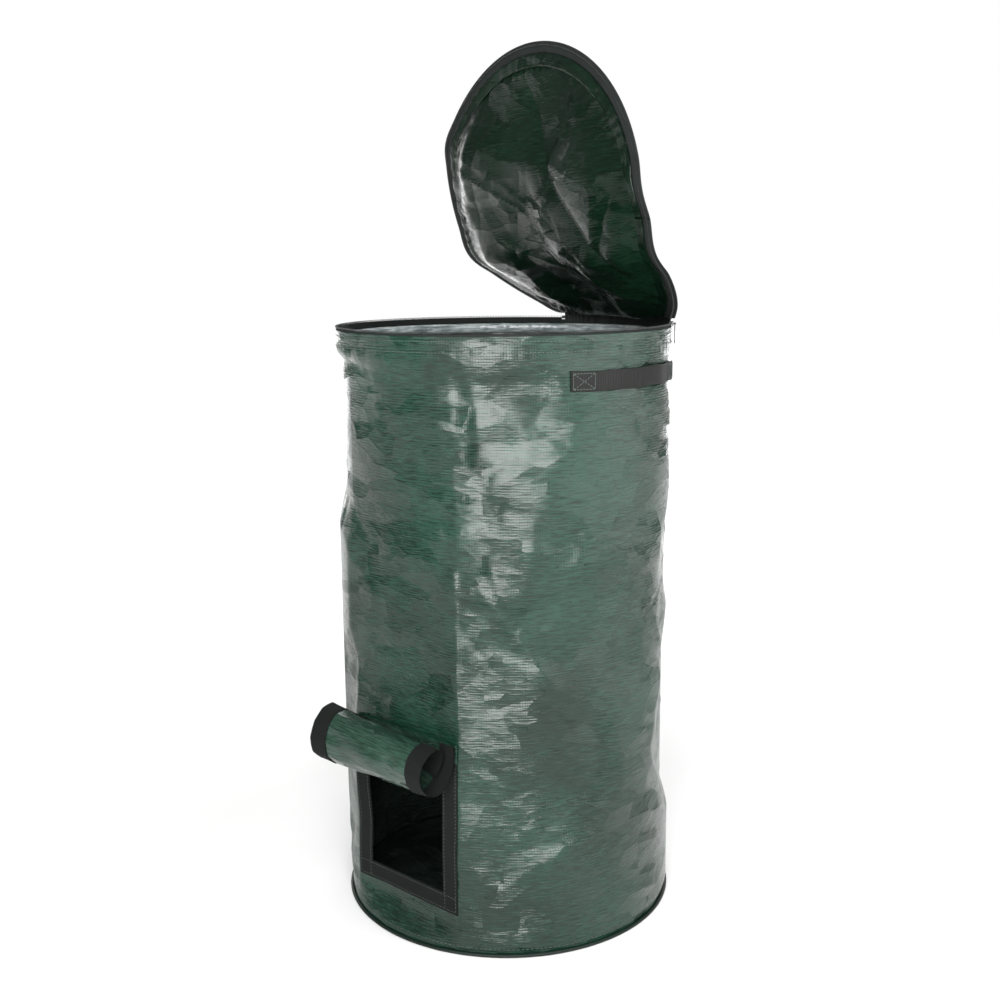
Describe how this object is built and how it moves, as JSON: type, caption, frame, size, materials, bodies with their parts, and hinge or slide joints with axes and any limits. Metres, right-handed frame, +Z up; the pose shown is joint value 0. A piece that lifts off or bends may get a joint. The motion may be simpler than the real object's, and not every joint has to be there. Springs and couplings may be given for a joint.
{
  "type": "fabric compost bag",
  "caption": "Round green woven garden compost bag with a zipped fold-up lid, webbing side handles and a roll-up emptying flap low on its front.",
  "frame": {"origin": "centre of the round base, on the surface that the bag stands on", "axes": "+Z up along the bag, -Y out through the emptying window, handles at +X and -X"},
  "size_m": [0.474, 0.5178, 1.1623],
  "materials": {
    "woven_pe_green": "woven polyethylene tape cloth, laminated, satin",
    "woven_pe_lid": "woven polyethylene tape cloth, dark green, satin",
    "woven_pe_flap": "woven polyethylene tape cloth, satin",
    "loop_tape": "brushed nylon loop tape, black, matt",
    "hook_tape": "moulded nylon hook tape, black, matt",
    "zip_tape": "woven polyester zip tape, black",
    "nylon_coil": "nylon monofilament coil, black",
    "webbing": "woven polypropylene webbing, charcoal",
    "thread": "twisted polyester thread",
    "slider_metal": "die-cast zinc, black enamel",
    "hoop_rod": "extruded plastic rod",
    "ferrule_tube": "extruded plastic tube"
  },
  "bodies": {
    "bag": {"bag_wall": "woven_pe_green", "base_panel": "woven_pe_green", "base_welt": "woven_pe_green", "wall_seam_strip": "woven_pe_green", "rim_sleeve": "woven_pe_green", "rim_hoop": "hoop_rod", "hoop_ferrule": "ferrule_tube", "rim_zip_tape": "zip_tape", "rim_zip_coil": "nylon_coil", "zip_end_stops": "nylon_coil", "hinge_tape": "zip_tape", "lid_back_panel": "woven_pe_lid", "window_tape_left": "hook_tape", "window_tape_right": "hook_tape", "window_tape_bottom": "hook_tape", "window_tape_top": "hook_tape", "flap_head_strip": "woven_pe_flap", "handle_strap_right": "webbing", "handle_strap_left": "webbing", "handle_stitching_right": "thread", "handle_stitching_left": "thread"},
    "zip_slider": {"zip_slider": "slider_metal"},
    "zip_pull": {"zip_pull": "slider_metal"},
    "lid_lower": {"lid_panel_lower": "woven_pe_lid", "lid_hem_lower": "woven_pe_lid", "lid_zip_tape_lower": "zip_tape", "lid_zip_coil_lower": "nylon_coil"},
    "lid_middle": {"lid_panel_middle": "woven_pe_lid", "lid_hem_middle": "woven_pe_lid", "lid_zip_tape_middle": "zip_tape", "lid_zip_coil_middle": "nylon_coil"},
    "lid_upper": {"lid_panel_upper": "woven_pe_lid", "lid_hem_upper": "woven_pe_lid", "lid_zip_tape_upper": "zip_tape", "lid_zip_coil_upper": "nylon_coil"},
    "flap_1": {"flap_panel_1": "woven_pe_flap", "flap_loop_tape_1": "loop_tape"},
    "flap_2": {"flap_panel_2": "woven_pe_flap", "flap_loop_tape_2": "loop_tape"},
    "flap_3": {"flap_panel_3": "woven_pe_flap", "flap_loop_tape_3": "loop_tape"},
    "flap_4": {"flap_panel_4": "woven_pe_flap", "flap_loop_tape_4": "loop_tape"},
    "flap_5": {"flap_panel_5": "woven_pe_flap", "flap_loop_tape_5": "loop_tape"},
    "flap_6": {"flap_panel_6": "woven_pe_flap", "flap_loop_tape_6": "loop_tape"},
    "flap_7": {"flap_panel_7": "woven_pe_flap", "flap_loop_tape_7": "loop_tape"},
    "flap_8": {"flap_panel_8": "woven_pe_flap", "flap_loop_tape_8": "loop_tape"},
    "flap_9": {"flap_panel_9": "woven_pe_flap", "flap_loop_tape_9": "loop_tape"},
    "flap_10": {"flap_panel_10": "woven_pe_flap", "flap_loop_tape_10": "loop_tape"},
    "flap_11": {"flap_panel_11": "woven_pe_flap", "flap_loop_tape_11": "loop_tape"},
    "flap_12": {"flap_panel_12": "woven_pe_flap", "flap_loop_tape_12": "loop_tape"}
  },
  "joints": [
    {"name": "lid_open", "type": "hinge", "parent": "bag", "child": "lid_lower", "pos_m": [0.0525, 0.17725, 0.80555], "axis": [-0.9588, 0.284, 0], "range_deg": [-39, 45]},
    {"name": "lid_bend_middle", "type": "hinge", "parent": "lid_lower", "child": "lid_middle", "pos_m": [0.02271, 0.07665, 0.89051], "axis": [-0.9588, 0.284, 0], "range_deg": [-32.51, 37.51]},
    {"name": "lid_bend_upper", "type": "hinge", "parent": "lid_middle", "child": "lid_upper", "pos_m": [0.01135, 0.03832, 1.01], "axis": [-0.9566, 0.2146, 0.1972], "range_deg": [-21.01, 24.24]},
    {"name": "zip_slide", "type": "hinge", "parent": "bag", "child": "zip_slider", "pos_m": [0, 0, 0.7992], "axis": [0, 0, 1], "range_deg": [-280, 0]},
    {"name": "zip_pull_swing", "type": "hinge", "parent": "zip_slider", "child": "zip_pull", "pos_m": [0.19058, 0.12615, 0.79873], "axis": [0.5519, -0.8339, 0], "range_deg": [0, 110]},
    {"name": "flap_unroll", "type": "hinge", "parent": "bag", "child": "flap_1", "pos_m": [0, -0.20676, 0.268], "axis": [0.9976, 0, -0.0698], "range_deg": [0, 14.63]},
    {"name": "flap_curl_2", "type": "hinge", "parent": "flap_1", "child": "flap_2", "pos_m": [0.00004, -0.2116, 0.24942], "axis": [0.9989, 0.006, -0.0467], "range_deg": [0, 29.79]},
    {"name": "flap_curl_3", "type": "hinge", "parent": "flap_2", "child": "flap_3", "pos_m": [0.00036, -0.22502, 0.23569], "axis": [0.9993, 0.0228, -0.0295], "range_deg": [0, 30.32]},
    {"name": "flap_curl_4", "type": "hinge", "parent": "flap_3", "child": "flap_4", "pos_m": [0.00106, -0.24352, 0.2306], "axis": [0.9987, 0.0459, -0.0232], "range_deg": [0, 30.86]},
    {"name": "flap_curl_5", "type": "hinge", "parent": "flap_4", "child": "flap_5", "pos_m": [0.00199, -0.262, 0.23572], "axis": [0.9972, 0.069, -0.0296], "range_deg": [0, 31.43]},
    {"name": "flap_curl_6", "type": "hinge", "parent": "flap_5", "child": "flap_6", "pos_m": [0.00281, -0.2751, 0.24973], "axis": [0.9952, 0.0853, -0.047], "range_deg": [0, 32.02]},
    {"name": "flap_curl_7", "type": "hinge", "parent": "flap_6", "child": "flap_7", "pos_m": [0.00305, -0.2788, 0.26857], "axis": [0.9935, 0.0898, -0.0704], "range_deg": [0, 32.63]},
    {"name": "flap_curl_8", "type": "hinge", "parent": "flap_7", "child": "flap_8", "pos_m": [0.00226, -0.27185, 0.28645], "axis": [0.9924, 0.081, -0.0925], "range_deg": [0, 33.27]},
    {"name": "flap_curl_9", "type": "hinge", "parent": "flap_8", "child": "flap_9", "pos_m": [0.00015, -0.25637, 0.29761], "axis": [0.9924, 0.0615, -0.1061], "range_deg": [0, 33.93]},
    {"name": "flap_curl_10", "type": "hinge", "parent": "flap_9", "child": "flap_10", "pos_m": [-0.00329, -0.23749, 0.29826], "axis": [0.9936, 0.038, -0.1066], "range_deg": [0, 34.62]},
    {"name": "flap_curl_11", "type": "hinge", "parent": "flap_10", "child": "flap_11", "pos_m": [-0.00777, -0.22181, 0.28812], "axis": [0.9954, 0.0185, -0.0937], "range_deg": [0, 35.34]},
    {"name": "flap_curl_12", "type": "hinge", "parent": "flap_11", "child": "flap_12", "pos_m": [-0.01276, -0.21511, 0.27084], "axis": [0.9973, 0.0102, -0.0721], "range_deg": [0, 36.09]}
  ],
  "couplings": [
    {"joint": "lid_bend_middle", "follows": "lid_open", "ratio": 0.83333},
    {"joint": "lid_bend_upper", "follows": "lid_open", "ratio": 0.53846},
    {"joint": "flap_curl_2", "follows": "flap_unroll", "ratio": 2.0348},
    {"joint": "flap_curl_3", "follows": "flap_unroll", "ratio": 2.0709},
    {"joint": "flap_curl_4", "follows": "flap_unroll", "ratio": 2.1084},
    {"joint": "flap_curl_5", "follows": "flap_unroll", "ratio": 2.1472},
    {"joint": "flap_curl_6", "follows": "flap_unroll", "ratio": 2.1875},
    {"joint": "flap_curl_7", "follows": "flap_unroll", "ratio": 2.2293},
    {"joint": "flap_curl_8", "follows": "flap_unroll", "ratio": 2.2728},
    {"joint": "flap_curl_9", "follows": "flap_unroll", "ratio": 2.3181},
    {"joint": "flap_curl_10", "follows": "flap_unroll", "ratio": 2.3652},
    {"joint": "flap_curl_11", "follows": "flap_unroll", "ratio": 2.4143},
    {"joint": "flap_curl_12", "follows": "flap_unroll", "ratio": 2.4656}
  ]
}
